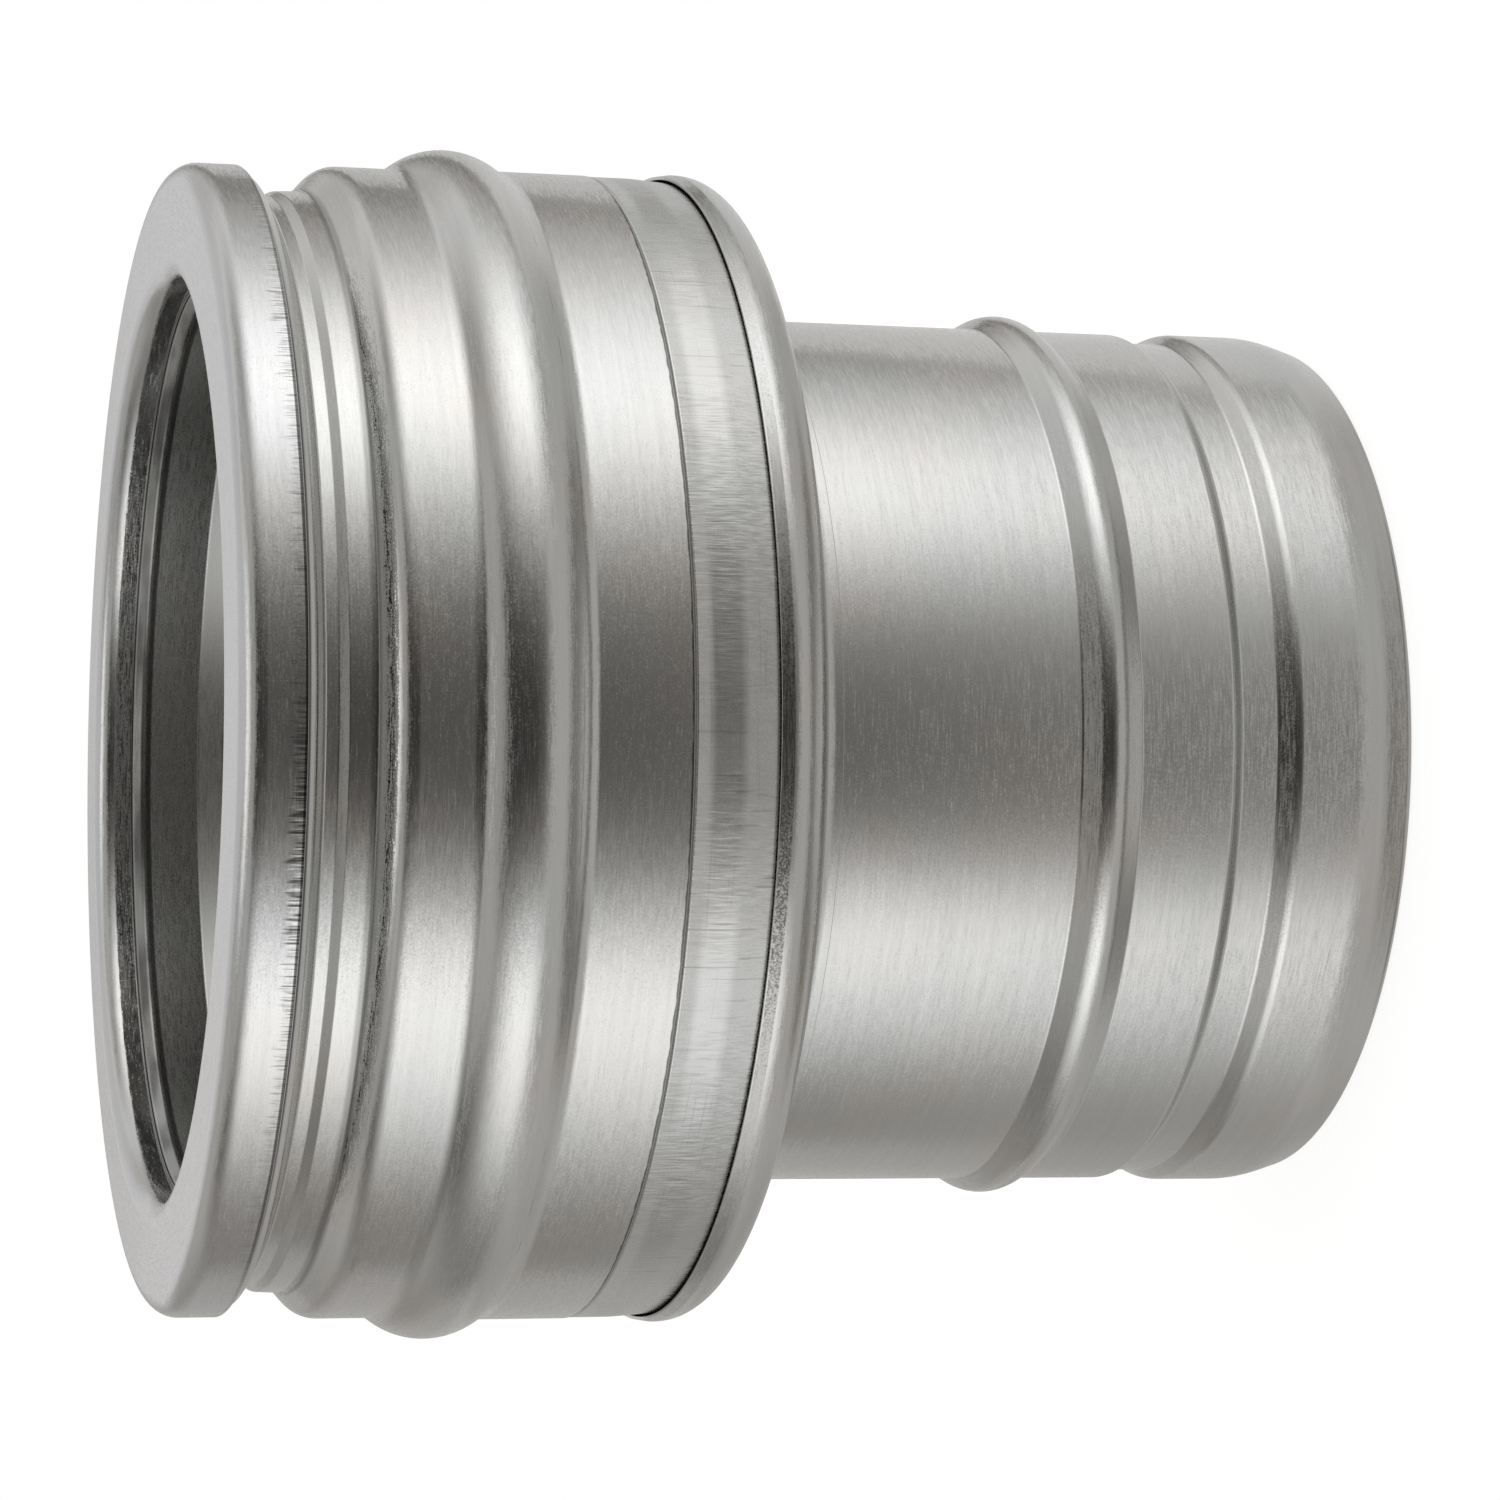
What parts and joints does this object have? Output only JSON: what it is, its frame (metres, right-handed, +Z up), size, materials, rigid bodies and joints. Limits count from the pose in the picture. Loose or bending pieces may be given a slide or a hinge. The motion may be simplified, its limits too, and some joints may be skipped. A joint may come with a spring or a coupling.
{
  "type": "flue pipe adapter",
  "caption": "Insulated flue adapter of stainless sheet: a double-wall socket end with a rolled casing, stepping down past a closure cap to a single-wall spigot.",
  "frame": {"origin": "centre of the spigot's end, on the surface that the part stands on", "axes": "+Z up along the flue from the single-wall spigot to the double-wall socket; X and Y across it"},
  "size_m": [0.2064, 0.2064, 0.2024],
  "materials": {
    "pipe_steel": "bright stainless sheet with fine rings from rolling",
    "cap_steel": "pressed stainless sheet, dull on its short edge",
    "sleeve_steel": "stainless sheet with its grain along the flue and fine scratches",
    "casing_steel": "bright rolled stainless sheet, brushed round the flue",
    "ring_steel": "drawn stainless sheet with small wrinkles at its free edge",
    "wool": "packed mineral wool"
  },
  "bodies": {
    "root": {"inner_pipe": "pipe_steel", "closure_cap": "cap_steel", "end_sleeve": "sleeve_steel", "outer_casing": "casing_steel", "front_ring": "ring_steel", "insulation": "wool"}
  },
  "joints": []
}
